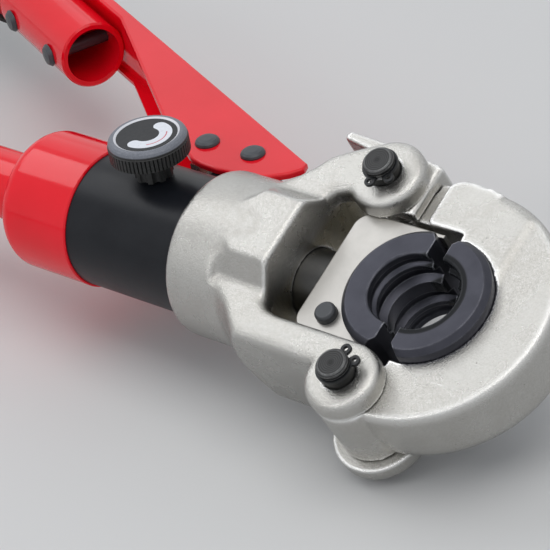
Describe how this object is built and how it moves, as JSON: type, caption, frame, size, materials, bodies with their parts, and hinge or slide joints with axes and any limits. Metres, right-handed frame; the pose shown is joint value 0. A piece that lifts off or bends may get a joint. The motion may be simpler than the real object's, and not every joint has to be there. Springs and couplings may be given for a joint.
{
  "type": "hydraulic pipe press tool",
  "caption": "Hand-pumped hydraulic press tool with a swivelling, latch-hinged head, split ring dies, a release knob and two long handles.",
  "frame": {"origin": "centre of the press bore in the fixed half-die, on the tool axis", "axes": "+X along the tool towards the nose of the head, +Y towards the moving handle, +Z square to the plane of the two handles, on the knob's side"},
  "size_m": [0.4907, 0.2417, 0.0905],
  "materials": {
    "bladder_clamp": "band",
    "cylinder_body": "satin black",
    "discharge_ball": "bearing steel",
    "discharge_plug": "black oxide",
    "fixed_die": "black oxide",
    "fixed_grip": "moulded",
    "fulcrum_pin": "black domed head",
    "handle_bracket": "gloss red",
    "handle_lever": "gloss red",
    "handle_tube": "gloss red",
    "hinge_circlip_bottom": "blackened spring steel",
    "hinge_circlip_top": "blackened spring steel",
    "hinge_pin": "black oxide",
    "jaw": "satin nickel plate over blasted forged steel",
    "jaw_bushing": "plain bearing bronze",
    "jaw_die_button": "black oxide",
    "knob_label": "satin disc with plain marks",
    "latch": "satin nickel plate",
    "latch_circlip_bottom": "blackened spring steel",
    "latch_circlip_top": "blackened spring steel",
    "latch_pin": "black oxide",
    "latch_spring": "bright spring wire",
    "lever_rivet_front": "black domed head",
    "lever_rivet_rear": "black domed head",
    "link_pin": "black domed head",
    "moving_die": "black oxide",
    "moving_grip": "moulded",
    "nose_seal": "moulded",
    "oil_bladder": "moulded",
    "piston": "turned",
    "piston_nut": "zinc plated",
    "piston_rod": "dark ground steel",
    "piston_seal": "moulded",
    "plunger_seal": "moulded",
    "pump_gland": "turned",
    "pump_plunger": "ground steel",
    "ram_block": "smooth satin nickel plate",
    "ram_die_button": "black oxide",
    "release_knob": "dark grey with a paler rim",
    "release_stem": "turned",
    "reservoir_casing": "gloss red",
    "rod_wiper": "moulded",
    "suction_ball": "bearing steel",
    "suction_seat": "turned",
    "swivel_ring": "spring steel",
    "yoke": "satin nickel plate over blasted forged steel"
  },
  "bodies": {
    "cylinder": {"cylinder_body": "cylinder_body", "swivel_ring": "swivel_ring", "nose_seal": "nose_seal", "pump_gland": "pump_gland", "plunger_seal": "plunger_seal", "discharge_ball": "discharge_ball", "suction_ball": "suction_ball", "discharge_plug": "discharge_plug", "suction_seat": "suction_seat", "oil_bladder": "oil_bladder", "bladder_clamp": "bladder_clamp", "reservoir_casing": "reservoir_casing", "handle_tube": "handle_tube", "fixed_grip": "fixed_grip"},
    "head": {"yoke": "yoke", "rod_wiper": "rod_wiper", "hinge_pin": "hinge_pin", "hinge_circlip_top": "hinge_circlip_top", "hinge_circlip_bottom": "hinge_circlip_bottom", "latch_pin": "latch_pin", "latch_circlip_top": "latch_circlip_top", "latch_circlip_bottom": "latch_circlip_bottom", "latch_spring": "latch_spring"},
    "jaw_head": {"jaw": "jaw", "jaw_bushing": "jaw_bushing", "fixed_die": "fixed_die"},
    "latch_lever": {"latch": "latch"},
    "ram": {"ram_block": "ram_block", "moving_die": "moving_die", "piston_rod": "piston_rod", "piston": "piston", "piston_seal": "piston_seal", "piston_nut": "piston_nut"},
    "ram_button": {"ram_die_button": "ram_die_button"},
    "jaw_button": {"jaw_die_button": "jaw_die_button"},
    "pump_handle": {"handle_bracket": "handle_bracket", "handle_lever": "handle_lever", "moving_grip": "moving_grip", "fulcrum_pin": "fulcrum_pin", "link_pin": "link_pin", "lever_rivet_front": "lever_rivet_front", "lever_rivet_rear": "lever_rivet_rear"},
    "plunger": {"pump_plunger": "pump_plunger"},
    "knob": {"release_knob": "release_knob", "knob_label": "knob_label", "release_stem": "release_stem"}
  },
  "joints": [
    {"name": "head_swivel", "type": "hinge", "parent": "cylinder", "child": "head", "pos_m": [-0.09, 0, 0], "axis": [1, 0, 0], "continuous": true},
    {"name": "jaw_open", "type": "hinge", "parent": "head", "child": "jaw_head", "pos_m": [-0.0096, -0.0357, -0.01619], "axis": [0, -0.4131, 0.9107], "range_deg": [-95, 0]},
    {"name": "latch_turn", "type": "hinge", "parent": "head", "child": "latch_lever", "pos_m": [-0.04, 0.03597, 0.01632], "axis": [0, -0.4131, 0.9107], "range_deg": [0, 24], "stiffness_Nm_per_rad": 0.3, "springref_deg": -17.19},
    {"name": "ram_slide", "type": "slide", "parent": "head", "child": "ram", "axis": [1, 0, 0], "range_m": [-0.0105, 0.00673]},
    {"name": "ram_button_press", "type": "slide", "parent": "ram", "child": "ram_button", "axis": [0, 0.4131, -0.9107], "range_m": [0, 0.002], "stiffness_N_per_m": 800, "springref_m": -0.002},
    {"name": "jaw_button_press", "type": "slide", "parent": "jaw_head", "child": "jaw_button", "axis": [0, -0.4131, 0.9107], "range_m": [0, 0.002], "stiffness_N_per_m": 800, "springref_m": -0.002},
    {"name": "pump_swing", "type": "hinge", "parent": "cylinder", "child": "pump_handle", "pos_m": [-0.1166, 0.0393, 0], "axis": [0, 0, 1], "range_deg": [-8, 14]},
    {"name": "plunger_slide", "type": "slide", "parent": "cylinder", "child": "plunger", "axis": [0, 1, 0], "range_m": [-0.0056, 0.0034]},
    {"name": "release_turn", "type": "hinge", "parent": "cylinder", "child": "knob", "pos_m": [-0.1294, 0, 0.04], "axis": [0, 0, 1], "range_deg": [0, 100]}
  ],
  "couplings": [
    {"joint": "plunger_slide", "follows": "pump_swing", "m_per_rad": -0.0222}
  ]
}
